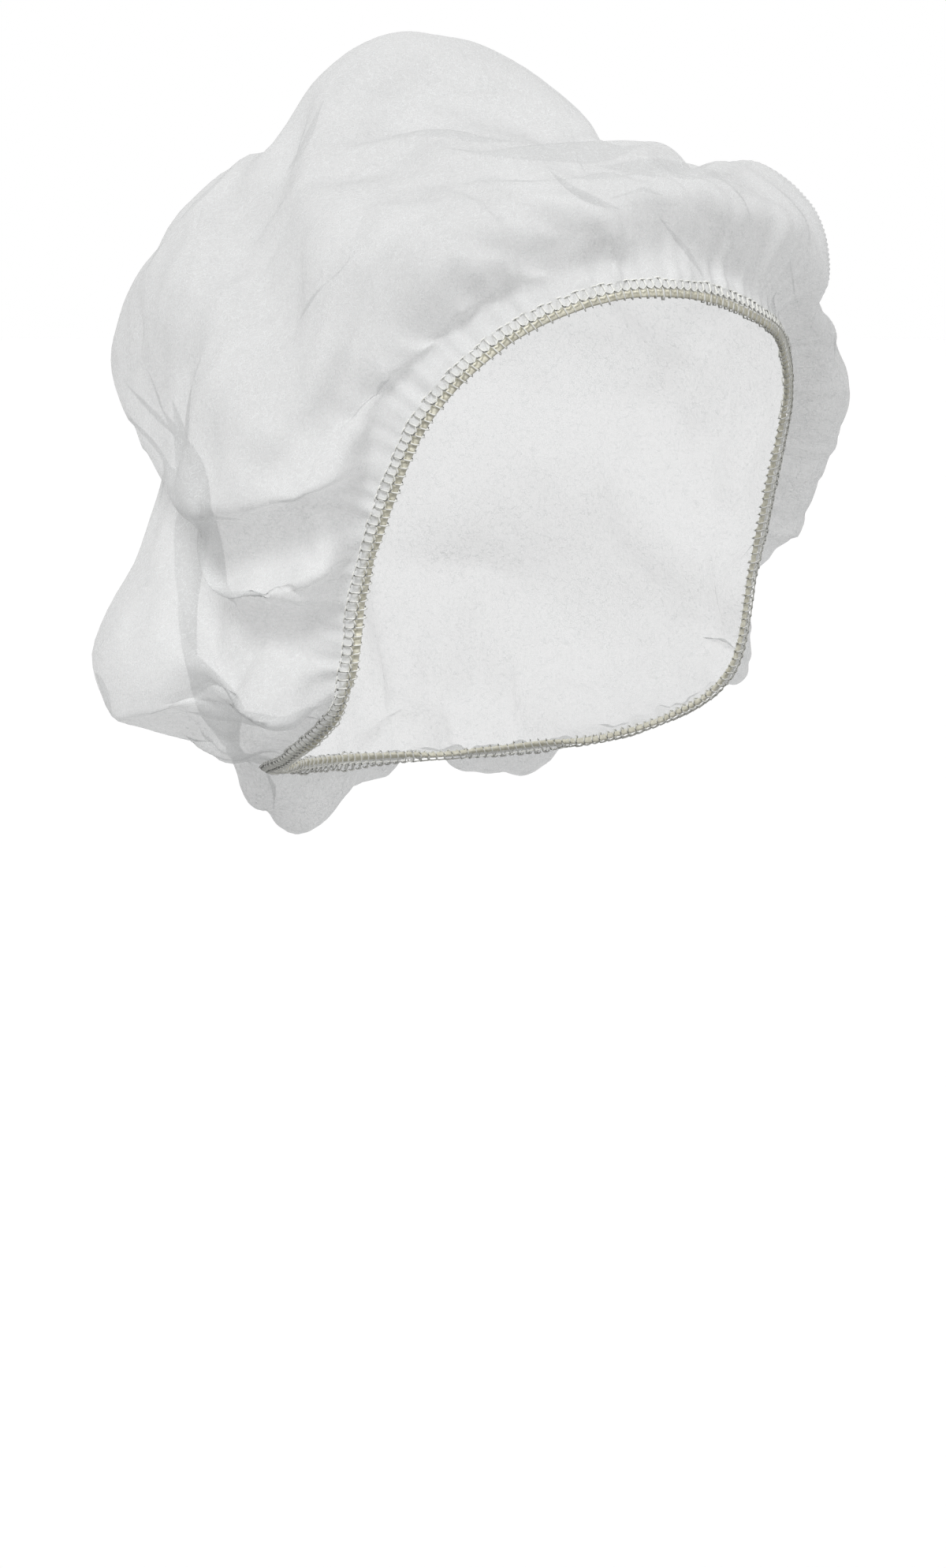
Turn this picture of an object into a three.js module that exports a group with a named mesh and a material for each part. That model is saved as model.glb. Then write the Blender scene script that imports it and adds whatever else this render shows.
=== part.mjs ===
// A disposable bouffant cap in the form that it has when worn: one round sheet of sheer nonwoven cloth,
// gathered all round its edge onto an elastic band and puffed out over the head.
// Millimetres, +Z up. The wearer faces -Y and +X is the wearer's left.
// The origin is the middle of the head opening.
import * as THREE from "three";

// Driving sizes
const CLOTH_WALL = 1.2; // thickness of the crown's wall
const CLOTH_CELLS = 48; // cells along each side of the grid that the round sheet is laid out on
const RIM_CROWDING = 1.3; // how much closer together the grid's rows lie near the rim
const SHEET_RADIUS = 228.5; // of the round sheet laid flat
const RELAX_ROUNDS = 2;
const RELAX_SHARE = 0.5; // how far each point moves towards its neighbours in a round
const SEAM_GAP = 0.4; // clearance between the hem and the elastic
const ELASTIC_WIDTH = 3;
const ELASTIC_THICKNESS = 1.2;
const ELASTIC_PEEK = 1.3; // how far the elastic shows below the cloth's edge
const ELASTIC_STEPS = 96;
const ELASTIC_FLAT = { edge: 0.5, face: 0.7 }; // shares of its thickness and width that stay flat
const RIM_DIVISIONS = 2000; // steps in which the rim's length is measured

// Levels near the rim: the top of the flat sewn hem, which is the grid's first row,
// and where the relief is full.
const HEM_LEVEL = (2 / CLOTH_CELLS) ** RIM_CROWDING;
const RELIEF_LEVEL = 0.055;

// Places round the cap are given as a turn in degrees: 0 at the forehead, 90 on the wearer's left,
// 180 at the nape and 270 on the wearer's right. A level runs from 0 at the rim to 1 at the apex.

// The sewn rim on one side, from the forehead down to the nape. The other side mirrors it, and the wearer's
// left lies a little lower on the forehead.
const RIM = [
  { place: "forehead", x: 0, y: -80, z: 75, leftDrop: 0 },
  { place: "hairline", x: 29, y: -75, z: 75, leftDrop: 7 },
  { place: "temple", x: 53, y: -60, z: 64, leftDrop: 4 },
  { place: "brow end", x: 70, y: -45, z: 43, leftDrop: 0 },
  { place: "cheekbone", x: 75, y: -34, z: 20, leftDrop: 0 },
  { place: "front of ear", x: 77, y: -24, z: -8, leftDrop: 0 },
  { place: "ear lobe", x: 76, y: -15, z: -39, leftDrop: 0 },
  { place: "behind ear", x: 69, y: 14, z: -56, leftDrop: 0 },
  { place: "side of neck", x: 48, y: 49, z: -64, leftDrop: 0 },
  { place: "nape", x: 0, y: 70, z: -66, leftDrop: 0 },
];

// Rings of the puffed crown. Each is a closed oval through its side at x, y and z, and its front and back
// at y and z.
const RINGS = [
  { ring: "belly", level: 0.28, side: [104, 20, 15], front: [-85, 101], back: [112, -15] },
  { ring: "shoulder", level: 0.52, side: [97, 24, 70], front: [-62, 111], back: [111, 62] },
  { ring: "dome", level: 0.76, side: [59, 28, 115], front: [-21, 122], back: [80, 116] },
];
const APEX = new THREE.Vector3(0, 30, 136);

// How the cloth leaves the rim: how far it stands out from it and hangs down.
const LIP_LEVEL = 0.1;
const LIP_SHARE = 0.3;
const FLARE = [
  { turn: 0, out: 4, drop: 0 },
  { turn: 30, out: 7, drop: 1 },
  { turn: 55, out: 14, drop: 3 },
  { turn: 95, out: 14, drop: 6 },
  { turn: 125, out: 7, drop: 4 },
  { turn: 150, out: 12, drop: 13 },
  { turn: 180, out: 14, drop: 17 },
];

// Puffs and dents: where each has its middle, how far it spreads and how far it rises or hangs.
const PUFFS = [
  { puff: "top", turn: 225, level: 0.97, across: 24, along: 22, rise: 15, droop: 0 },
  { puff: "back of top", turn: 238, level: 0.85, across: 37, along: 24, rise: 7, droop: 0 },
  { puff: "front of top", turn: 40, level: 0.88, across: 28, along: 20, rise: 6, droop: 0 },
  { puff: "front shoulder", turn: 28, level: 0.66, across: 37, along: 20, rise: 2, droop: 0 },
  { puff: "left brow", turn: 28, level: 0.5, across: 42, along: 22, rise: 3.5, droop: 0 },
  { puff: "left temple", turn: 60, level: 0.12, across: 46, along: 24, rise: 4, droop: 3 },
  { puff: "right back", turn: 238, level: 0.58, across: 46, along: 26, rise: 4, droop: 0 },
  { puff: "right side", turn: 284, level: 0.32, across: 37, along: 31, rise: 8, droop: 6 },
  { puff: "right pouch", turn: 234, level: 0.205, across: 53, along: 27, rise: 21, droop: 13 },
  { puff: "right pouch floor", turn: 238, level: 0.14, across: 44, along: 13, rise: 12, droop: 2 },
  { puff: "left pouch", turn: 126, level: 0.205, across: 53, along: 27, rise: 18, droop: 10 },
  { puff: "right nape", turn: 182, level: 0.085, across: 46, along: 22, rise: 7, droop: 15 },
  { puff: "left nape", turn: 146, level: 0.08, across: 32, along: 18, rise: 6, droop: 8 },
  { puff: "left side", turn: 76, level: 0.32, across: 40, along: 33, rise: 6, droop: 4 },
  { puff: "back", turn: 180, level: 0.34, across: 55, along: 37, rise: 6, droop: 3 },
];

// Folds and creases, each along a line between two places, given as turn and level: how wide it is
// and how far it rises or hangs.
const FOLDS = [
  { fold: "right side lip", from: [297, 0.05], to: [276, 0.28], width: 24, rise: 8, droop: 7 },
  { fold: "under side lip", from: [289, 0.04], to: [272, 0.22], width: 20, rise: -10, droop: 0 },
  { fold: "right cheek lip", from: [281, 0.05], to: [268, 0.19], width: 22, rise: 6, droop: 6 },
  { fold: "right ear crease", from: [267, 0.03], to: [258, 0.21], width: 22, rise: -11, droop: 0 },
  { fold: "right waist", from: [256, 0.27], to: [216, 0.34], width: 31, rise: -16, droop: 0 },
  { fold: "right lobe lip", from: [256, 0.05], to: [260, 0.16], width: 26, rise: 7, droop: 8 },
  { fold: "under right pouch", from: [242, 0.1], to: [206, 0.1], width: 24, rise: -16, droop: 0 },
  { fold: "right temple pleat", from: [305, 0.05], to: [303, 0.36], width: 18, rise: -4, droop: 0 },
  { fold: "right brow pleat", from: [318, 0.05], to: [309, 0.42], width: 16, rise: -3, droop: 0 },
  { fold: "middle pleat", from: [340, 0.06], to: [322, 0.58], width: 18, rise: -3, droop: 0 },
  { fold: "left brow pleat", from: [4, 0.06], to: [350, 0.5], width: 18, rise: -3, droop: 0 },
  { fold: "left temple pleat", from: [26, 0.06], to: [16, 0.42], width: 18, rise: -3, droop: 0 },
  { fold: "right of top", from: [208, 0.76], to: [264, 0.71], width: 22, rise: -4, droop: 0 },
  { fold: "right crown crease", from: [266, 0.69], to: [294, 0.37], width: 22, rise: -5, droop: 0 },
  { fold: "left of top", from: [28, 0.76], to: [90, 0.74], width: 20, rise: -5, droop: 0 },
  { fold: "left brow crease", from: [24, 0.6], to: [60, 0.56], width: 22, rise: -4, droop: 0 },
  { fold: "left temple crease", from: [38, 0.2], to: [52, 0.3], width: 22, rise: -5, droop: 0 },
  { fold: "left side lip", from: [72, 0.05], to: [84, 0.24], width: 29, rise: 1, droop: 3 },
  { fold: "left ear crease", from: [88, 0.03], to: [102, 0.24], width: 24, rise: -9, droop: 0 },
  { fold: "left waist", from: [104, 0.28], to: [140, 0.34], width: 33, rise: -12, droop: 0 },
  { fold: "left lobe lip", from: [104, 0.06], to: [100, 0.16], width: 27, rise: 4, droop: 3 },
  { fold: "left of nape", from: [134, 0.05], to: [138, 0.3], width: 24, rise: -6, droop: 0 },
  { fold: "right of nape", from: [220, 0.05], to: [212, 0.3], width: 26, rise: -8, droop: 0 },
  { fold: "middle of nape", from: [162, 0.05], to: [165, 0.28], width: 22, rise: -6, droop: 0 },
];

// Small even gathers close to the rim, fuller at the nape than across the forehead.
const PLEATS = { count: 28, rise: 2, reach: 0.16, foreheadShare: 0.25, foreheadTurn: 20, fullTurn: 110 };

const smooth = (from, to, value) => THREE.MathUtils.smoothstep(value, from, to);
const bell = (offset, spread) => Math.exp(-((offset / spread) ** 2));
const turnBetween = (a, b) => THREE.MathUtils.euclideanModulo(a - b + 180, 360) - 180;

function rimCurve() {
  const left = RIM.map(({ x, y, z, leftDrop }) => new THREE.Vector3(x, y, z - leftDrop));
  const right = RIM.slice(1, -1).reverse().map(({ x, y, z }) => new THREE.Vector3(-x, y, z));
  const curve = new THREE.CatmullRomCurve3([...left, ...right], true);
  curve.arcLengthDivisions = RIM_DIVISIONS;
  return curve;
}

const rim = rimCurve();
const rimPoint = (turn) => rim.getPointAt(THREE.MathUtils.euclideanModulo(turn, 360) / 360);

function ringPoint(row, turn) {
  const angle = THREE.MathUtils.degToRad(turn);
  const ahead = Math.cos(angle);
  const [endY, endZ] = ahead > 0 ? row.front : row.back;
  const [sideX, sideY, sideZ] = row.side;
  return new THREE.Vector3(
    sideX * Math.sin(angle),
    THREE.MathUtils.lerp(sideY, endY, Math.abs(ahead)),
    THREE.MathUtils.lerp(sideZ, endZ, Math.abs(ahead)),
  );
}

// The flare at a turn, read between the two nearest rows of its table.
function flareAt(turn) {
  const side = Math.abs(turnBetween(turn, 0));
  const next = Math.max(1, FLARE.findIndex((row) => row.turn >= side));
  const [low, high] = [FLARE[next - 1], FLARE[next]];
  const share = (side - low.turn) / (high.turn - low.turn);
  return {
    out: THREE.MathUtils.lerp(low.out, high.out, share),
    drop: THREE.MathUtils.lerp(low.drop, high.drop, share),
  };
}

function lipPoint(turn) {
  const { out, drop } = flareAt(turn);
  const point = rimPoint(turn).lerp(ringPoint(RINGS[0], turn), LIP_SHARE);
  const outward = new THREE.Vector3(point.x, point.y, 0).normalize();
  point.addScaledVector(outward, out);
  point.z -= drop;
  return point;
}

const KNOT_LEVELS = [0, LIP_LEVEL, ...RINGS.map((row) => row.level), 1];

// A point of the smooth crown, before its puffs and gathers, on the curve over the apex at this turn.
function crownPoint(turn, level) {
  const overTheApex = ringPoint(RINGS[RINGS.length - 1], turn + 180);
  const ringPoints = RINGS.map((row) => ringPoint(row, turn));
  const knots = [rimPoint(turn), lipPoint(turn), ...ringPoints, APEX, overTheApex];
  const last = KNOT_LEVELS.length - 2;
  const knot = Math.min(last, KNOT_LEVELS.findLastIndex((low) => low <= level));
  const share = (level - KNOT_LEVELS[knot]) / (KNOT_LEVELS[knot + 1] - KNOT_LEVELS[knot]);
  return new THREE.CatmullRomCurve3(knots).getPoint((knot + share) / (knots.length - 1));
}

// A place's position on the round sheet laid flat.
function flatPoint(turn, level) {
  const angle = THREE.MathUtils.degToRad(turn);
  const radius = SHEET_RADIUS * (1 - level);
  return new THREE.Vector2(radius * Math.sin(angle), -radius * Math.cos(angle));
}

// How strongly a puff acts at a flat point: it is an oval with its own axis along the meridian.
function puffShare(puff, flat) {
  const offset = flat.clone().sub(flatPoint(puff.turn, puff.level));
  offset.rotateAround(new THREE.Vector2(), -THREE.MathUtils.degToRad(puff.turn));
  return bell(offset.x, puff.across) * bell(offset.y, puff.along);
}

// How strongly a fold acts at a flat point: by the distance from its line.
function foldShare(fold, flat) {
  const from = flatPoint(...fold.from);
  const line = flatPoint(...fold.to).sub(from);
  const along = THREE.MathUtils.clamp(flat.clone().sub(from).dot(line) / line.lengthSq(), 0, 1);
  return bell(flat.distanceTo(from.addScaledVector(line, along)), fold.width / 2);
}

// How far the cloth stands out along its normal at a place, and how far it hangs down there.
function reliefAt(turn, level) {
  const flat = flatPoint(turn, level);
  const clearOfHem = smooth(HEM_LEVEL, RELIEF_LEVEL, level);
  const side = Math.abs(turnBetween(turn, 0));
  const sideShare = smooth(PLEATS.foreheadTurn, PLEATS.fullTurn, side);
  const fullness = THREE.MathUtils.lerp(PLEATS.foreheadShare, 1, sideShare);
  const wave = Math.cos(THREE.MathUtils.degToRad(turn * PLEATS.count));
  let rise = PLEATS.rise * fullness * wave * (1 - smooth(LIP_LEVEL, PLEATS.reach, level));
  let droop = 0;
  for (const puff of PUFFS) {
    const share = puffShare(puff, flat);
    rise += puff.rise * share;
    droop += puff.droop * share;
  }
  for (const fold of FOLDS) {
    const share = foldShare(fold, flat);
    rise += fold.rise * share;
    droop += fold.droop * share;
  }
  return { rise: rise * clearOfHem, droop: droop * clearOfHem };
}

// Lays a square grid over the round sheet, so that the cloth has no pole.
// Gives each point's turn and level.
function clothGrid() {
  const places = [];
  for (let row = 0; row <= CLOTH_CELLS; row++) {
    for (let column = 0; column <= CLOTH_CELLS; column++) {
      const across = (2 * column) / CLOTH_CELLS - 1;
      const along = (2 * row) / CLOTH_CELLS - 1;
      const radius = Math.max(Math.abs(across), Math.abs(along));
      const wedge = Math.abs(across) > Math.abs(along)
        ? { turn: across > 0 ? 90 : 270, lean: along / across }
        : { turn: along > 0 ? 180 : 0, lean: radius === 0 ? 0 : -across / along };
      places.push({ turn: wedge.turn + 45 * wedge.lean, level: (1 - radius) ** RIM_CROWDING });
    }
  }
  return places;
}

// Two triangles for each cell of the cloth's grid, facing outwards and split along the shorter diagonal.
function gridFaces(points) {
  const faces = [];
  const width = CLOTH_CELLS + 1;
  for (let row = 0; row < CLOTH_CELLS; row++) {
    for (let column = 0; column < CLOTH_CELLS; column++) {
      const [a, b] = [row * width + column, row * width + column + 1];
      const [c, d] = [b + width, a + width];
      const splitAC = points[a].distanceTo(points[c]) < points[b].distanceTo(points[d]);
      faces.push(...(splitAC ? [a, b, c, a, c, d] : [a, b, d, b, c, d]));
    }
  }
  return faces;
}

// The grid's edge points in order round the rim.
function gridEdge() {
  const edge = [];
  const last = CLOTH_CELLS;
  const index = (row, column) => row * (last + 1) + column;
  for (let step = 0; step < last; step++) edge.push(index(0, step));
  for (let step = 0; step < last; step++) edge.push(index(step, last));
  for (let step = 0; step < last; step++) edge.push(index(last, last - step));
  for (let step = 0; step < last; step++) edge.push(index(last - step, 0));
  return edge;
}

function sheetNormals(points, faces) {
  const sheet = new THREE.BufferGeometry().setFromPoints(points);
  sheet.setIndex(faces);
  sheet.computeVertexNormals();
  return points.map((_, i) => new THREE.Vector3().fromBufferAttribute(sheet.getAttribute("normal"), i));
}

// Evens out the cloth above the hem: each point moves towards the middle of its four neighbours.
function relaxed(points, places) {
  const neighbours = [-1, 1, -CLOTH_CELLS - 1, CLOTH_CELLS + 1];
  return points.map((point, i) => {
    if (places[i].level <= HEM_LEVEL) return point;
    const middle = new THREE.Vector3();
    for (const step of neighbours) middle.addScaledVector(points[i + step], 1 / neighbours.length);
    return point.clone().lerp(middle, RELAX_SHARE);
  });
}

function crownGeometry() {
  const places = clothGrid();
  const plain = places.map(({ turn, level }) => crownPoint(turn, level));
  const plainNormals = sheetNormals(plain, gridFaces(plain));
  let outer = plain.map((point, i) => {
    const { rise, droop } = reliefAt(places[i].turn, places[i].level);
    const moved = point.clone().addScaledVector(plainNormals[i], rise);
    moved.z -= droop;
    return moved;
  });
  for (let round = 0; round < RELAX_ROUNDS; round++) outer = relaxed(outer, places);
  const faces = gridFaces(outer);
  const outerNormals = sheetNormals(outer, faces);
  const inner = outer.map((point, i) => point.clone().addScaledVector(outerNormals[i], -CLOTH_WALL));
  const innerStart = outer.length;
  const closed = [...faces];
  for (let i = 0; i < faces.length; i += 3) {
    closed.push(innerStart + faces[i], innerStart + faces[i + 2], innerStart + faces[i + 1]);
  }
  const edge = gridEdge();
  edge.forEach((here, i) => {
    const next = edge[(i + 1) % edge.length];
    closed.push(here, innerStart + here, next, next, innerStart + here, innerStart + next);
  });
  const geometry = new THREE.BufferGeometry().setFromPoints([...outer, ...inner]);
  geometry.setIndex(closed);
  geometry.computeVertexNormals();
  return geometry;
}

// A flat band with rounded edges that runs inside the hem, seated a seam's gap from the cloth.
function elasticGeometry() {
  const halfWidth = ELASTIC_WIDTH / 2;
  const halfThickness = ELASTIC_THICKNESS / 2;
  const flatEdge = halfThickness * ELASTIC_FLAT.edge;
  const flatFace = halfWidth * ELASTIC_FLAT.face;
  const section = [
    [halfWidth, flatEdge],
    [flatFace, halfThickness],
    [-flatFace, halfThickness],
    [-halfWidth, flatEdge],
    [-halfWidth, -flatEdge],
    [-flatFace, -halfThickness],
    [flatFace, -halfThickness],
    [halfWidth, -flatEdge],
  ];
  const points = [];
  const faces = [];
  for (let step = 0; step < ELASTIC_STEPS; step++) {
    const turn = (360 * step) / ELASTIC_STEPS;
    const edge = rimPoint(turn);
    const up = crownPoint(turn, HEM_LEVEL).sub(edge).normalize();
    const along = rim.getTangentAt(turn / 360);
    const outward = along.cross(up).normalize();
    const middle = edge
      .addScaledVector(up, halfWidth - ELASTIC_PEEK)
      .addScaledVector(outward, -(CLOTH_WALL + SEAM_GAP + halfThickness));
    section.forEach(([acrossUp, acrossOut], corner) => {
      points.push(middle.clone().addScaledVector(up, acrossUp).addScaledVector(outward, acrossOut));
      const here = step * section.length + corner;
      const beside = step * section.length + ((corner + 1) % section.length);
      const ahead = (index) => (index + section.length) % (ELASTIC_STEPS * section.length);
      faces.push(here, beside, ahead(here), ahead(here), beside, ahead(beside));
    });
  }
  const geometry = new THREE.BufferGeometry().setFromPoints(points);
  geometry.setIndex(faces);
  geometry.computeVertexNormals();
  return geometry;
}

const nonwoven = new THREE.MeshStandardMaterial({ color: 0xe9eae8, roughness: 0.85, metalness: 0 });
const rubber = new THREE.MeshStandardMaterial({ color: 0xdedac4, roughness: 0.6, metalness: 0 });

function named(name, geometry, material) {
  const mesh = new THREE.Mesh(geometry, material);
  mesh.name = name;
  return mesh;
}

const cap = new THREE.Group();
cap.add(named("crown", crownGeometry(), nonwoven));
cap.add(named("elastic_band", elasticGeometry(), rubber));

export default cap;
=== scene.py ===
import cmath
import math
from collections import deque

import bmesh
import bpy
import numpy as np
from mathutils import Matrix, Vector, kdtree, noise


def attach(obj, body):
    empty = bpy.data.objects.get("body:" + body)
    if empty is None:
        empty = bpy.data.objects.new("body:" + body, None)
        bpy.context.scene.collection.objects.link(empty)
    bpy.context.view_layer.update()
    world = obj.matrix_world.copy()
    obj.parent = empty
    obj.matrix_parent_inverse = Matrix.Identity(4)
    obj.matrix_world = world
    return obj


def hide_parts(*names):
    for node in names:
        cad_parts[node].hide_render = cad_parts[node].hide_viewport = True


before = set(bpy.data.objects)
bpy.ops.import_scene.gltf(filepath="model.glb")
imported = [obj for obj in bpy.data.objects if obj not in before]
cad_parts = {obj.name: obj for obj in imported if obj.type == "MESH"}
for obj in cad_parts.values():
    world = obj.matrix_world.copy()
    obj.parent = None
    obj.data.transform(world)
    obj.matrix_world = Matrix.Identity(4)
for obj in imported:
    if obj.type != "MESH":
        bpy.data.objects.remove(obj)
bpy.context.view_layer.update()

MM = 0.001

# The round sheet as it was cut
SHEET_DIAMETER = 0.457

# Crown: reading the sheet out of the solid
MERGE = 0.01 * MM
WALL_CORNER = math.radians(55)
RIM_CROWDING = 1.3
HEM_CELLS = 8

# Crown: folds drawn one by one. A turn is 0 at the forehead, 90 on the wearer's left and 180 at the nape.
# A level is 0 at the rim and 1 at the apex. Widths and rises are in mm. A fold is steeper on its sharp
# side, and it fades in and out over shares of its length.
FOLD_ROWS = (
    # name, from turn, from level, to turn, to level, width, rise, sharp side
    ("brow pleat", 322, 0.07, 305, 0.52, 9, 3.2, 1),
    ("brow pleat neighbour", 328, 0.06, 312, 0.48, 8, 2.3, 1),
    ("brow fan", 334, 0.05, 320, 0.36, 6, 1.6, 1),
    ("temple pleat", 309, 0.06, 299, 0.44, 9, 3.0, 1),
    ("temple fan", 315, 0.05, 304, 0.34, 6, 1.8, 1),
    ("temple crease", 296, 0.36, 291, 0.62, 7, 2.6, -1),
    ("ear fan", 300, 0.05, 293, 0.30, 6, 1.8, 1),
    ("middle pleat", 341, 0.07, 321, 0.66, 9, 2.8, 1),
    ("middle pleat neighbour", 348, 0.06, 331, 0.55, 8, 2.0, 1),
    ("left brow pleat", 5, 0.06, 345, 0.60, 9, 2.3, 1),
    ("left temple pleat", 15, 0.06, 358, 0.40, 8, 2.0, 1),
    ("left temple fan", 17, 0.06, 20, 0.42, 8, 2.2, -1),
    ("brow crease", 329, 0.24, 311, 0.41, 5, 1.0, 1),
)
FOLD_SHARP = 0.7
FOLD_SOFT = 1.5
FOLD_FADE_IN = 0.25
FOLD_FADE_OUT = 0.5

# Crown: fine creases between those folds, at random places of the taut front and in the same units
CREASE_COUNT = 36
CREASE_TURN = (-80, 35)
CREASE_LEVEL = (0.08, 0.28)
CREASE_LEAN = (-24, -6)
CREASE_CLIMB = (0.22, 0.5)
CREASE_WIDTH = (4.0, 6.0)
CREASE_RISE = (0.8, 1.9)
CREASE_SEED = 21

# Crown: gathers that run up from the hem, longer and fuller away from the forehead
GATHER_COUNT = 84
GATHER_WIDTH = (5.0, 11.0)
GATHER_REACH = (0.07, 0.34)
GATHER_RISE = (0.4, 1.7)
GATHER_LEAN = 6.0
GATHER_JITTER = 0.35
GATHER_STEEPNESS = 6
GATHER_SEED = 3
FOREHEAD_SHARE = 0.6

# Crown: cloth that is a little too large for its place buckles, first into lobes and then into wrinkles
BUCKLE_STAGES = (
    # name, grid refined, frames, most growth, patch mm, hold, bending, farthest move mm, smoothing rounds
    ("lobes", 1, 30, 0.14, 60, 0.15, 0.8, 12, 0),
    ("wrinkles", 2, 20, 0.08, 35, 0.22, 0.2, 6, 1),
)
PATCH_MIDDLE = 0.55
PATCH_SWING = 0.9
LEAST_MOVE = 0.00001 * MM
WRINKLE_SMOOTHING = 0.5
DRAPE_REFINED = 2
CLOTH_QUALITY = 5
CLOTH_MASS = 0.15
CLOTH_STRETCH = 20.0
CLOTH_SHEAR = 6.0
CLOTH_DAMPING = 3.0
CLOTH_GRAVITY = 0.0

# Crown: the front is taut up to a turn and a level, and the hem holds the cloth up to a level
TAUT_TURN = (40, 80)
TAUT_LEVEL = (0.45, 0.7)
TAUT_SHARE = 0.05
HELD_HEM = (0.03, 0.12)
START_INSET = 7.0

# Crown: the hem lies along a rounded form, whose outward direction is the rim's place divided by these sizes
HEM_FORM = (1.0, 1.2, 1.5)
HEM_LEAN = 0.1
HEM_SMOOTHING = 12
HEM_STITCHED = 4
HEM_ROWS = (
    # turn, how far from the rim the cloth lies along the form and where it is free, in mm
    (0, 5, 40),
    (40, 4, 18),
    (120, 3, 14),
    (240, 3, 14),
    (280, 4, 18),
    (305, 6, 40),
    (360, 5, 40),
)

# Crown: fine crimps just above the hem, where the gathered cloth is also denser
CRIMP_WAVES = (
    # wavelength and rise in mm
    (4.6, 0.25),
    (6.4, 0.35),
    (9.5, 0.45),
)
CRIMP_START = 4 * MM
CRIMP_REACH = 16 * MM
CRIMP_SWELL = 0.6
CRIMPS_PER_SWELL = 5
CRIMP_SEED = 11
GATHER_DENSE = 6 * MM

# Overlocked edge, with the needle's line in mm from the rim
STITCH_PITCH = 2.5 * MM
THREAD_RADIUS = 0.24 * MM
NEEDLE_LINE = 2.7
STITCH_UNEVENNESS = 0.12
STITCH_SEED = 5

# Elastic
ELASTIC_HALF_WIDTH = 1.3 * MM
ELASTIC_HALF_THICKNESS = 0.7 * MM
ELASTIC_INSET = 1.2 * MM
ELASTIC_RISE = -0.9 * MM
ELASTIC_RIB_PITCH = 1.5 * MM
ELASTIC_RIB_DEPTH = 0.16
ELASTIC_RIB_SLANT = 1.5
ELASTIC_STEPS_PER_RIB = 4
ELASTIC_SIDES = 10

# Camera, in the photograph's 1200 by 1988 frame
IMAGE_SIZE = (1200, 1988)
VIEW_AZIMUTH = math.radians(-42)
VIEW_PITCH = math.radians(5.5)
VIEW_DISTANCE = 1.6
PIXELS_PER_M = 4400
ORIGIN_PIXEL = (643, 699)
SENSOR = 36.0

# Studio
FLOOR_HEIGHT = -0.9
FLOOR_RADIUS = 60.0
FLOOR_SIDES = 96
FLOOR_COLOUR = (0.97, 0.97, 0.97)
FLOOR_ROUGHNESS = 0.9
FLOOR_GLOW = 0.08
WHITE = (1.0, 1.0, 1.0)
SURROUND_LIGHT = 0.3
SURROUND_SEEN = 1.0
SHEER_LAYERS = 24
LIGHTS = (
    # name, place that it shines from, softness in degrees, strength
    ("key", (-1.4, -0.7, 1.5), 20, 2.35),
    ("fill", (0.9, -1.4, 0.5), 60, 0.8),
    ("back", (0.9, 1.4, 0.9), 40, 0.7),
)


def linear(*srgb):
    """A linear RGBA colour from sRGB shares."""
    channels = [c / 12.92 if c <= 0.04045 else ((c + 0.055) / 1.055) ** 2.4 for c in srgb]
    return (*channels, 1.0)


def add_object(name, mesh):
    piece = bpy.data.objects.new(name, mesh)
    bpy.context.scene.collection.objects.link(piece)
    return piece


def shade_smooth(mesh):
    mesh.polygons.foreach_set("use_smooth", [True] * len(mesh.polygons))


class Nodes:
    """Short calls for building a node tree."""

    def __init__(self, tree):
        self.tree = tree

    def add(self, kind, **settings):
        node = self.tree.nodes.new(kind)
        for key, value in settings.items():
            setattr(node, key, value)
        return node

    def join(self, source, target):
        self.tree.links.new(source, target)

    def math(self, operation, first, second=0.0, clamp=False):
        node = self.add("ShaderNodeMath", operation=operation, use_clamp=clamp)
        for socket, value in zip(node.inputs, (first, second)):
            if isinstance(value, (int, float)):
                socket.default_value = value
            else:
                self.join(value, socket)
        return node.outputs[0]


def new_material(name):
    material = bpy.data.materials.new(name)
    material.use_nodes = True
    material.node_tree.nodes.clear()
    return material, Nodes(material.node_tree)


# Materials

# Shares of the light that one layer of cloth stops: plain, and how much more at the hem and on a fibre
CLOTH_OPACITY = 0.48
HEM_OPACITY = 0.25
FIBRE_OPACITY = 0.25

# Share of the cloth's light that shines through it, and how unevenly its fibres crowd together
CLOTH_GLOW = 0.35
CLOTH_PATCHES = 0.2

# A relief is a strength and a distance in mm, and a tint is two places on a ramp with their sRGB colours
PATCH_SCALE = 120.0
PATCH_DETAIL = 3.0
CLOTH_RELIEF = (0.18, 0.2)
CLOTH_TINT = ((0.0, (0.962, 0.965, 0.965)), (0.6, (0.985, 0.99, 0.99)))
CLOTH_FINISH = {"Roughness": 0.7, "Specular IOR Level": 0.2, "Sheen Weight": 0.5, "Sheen Roughness": 0.4}

FUZZ_SCALE = 2600.0
FUZZ_DETAIL = 2.0
THREAD_RELIEF = (0.4, 0.1)
THREAD_TINT = ((0.3, (0.93, 0.93, 0.905)), (0.7, (0.99, 0.99, 0.975)))
THREAD_FINISH = {"Roughness": 0.7, "Sheen Weight": 0.2}

YARN_SCALE = 900.0
YARN_DETAIL = 3.0
ELASTIC_RELIEF = (0.5, 0.15)
ELASTIC_TINT = ((0.3, (0.86, 0.845, 0.77)), (0.7, (0.955, 0.945, 0.885)))
ELASTIC_FINISH = {"Roughness": 0.65}

NOISE_MIDDLE = 0.5
FIBRE_DETAIL = 1.0
FIBRE_CURL = 0.6
FIBRE_SHARE = 0.6
FIBRE_LAYERS = (
    # scale per metre, half width as a share of the noise, shift
    (300.0, 0.022, (0.0, 0.0, 0.0)),
    (420.0, 0.026, (3.1, 7.7, 1.3)),
    (560.0, 0.030, (9.2, 2.4, 5.6)),
)


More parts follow.
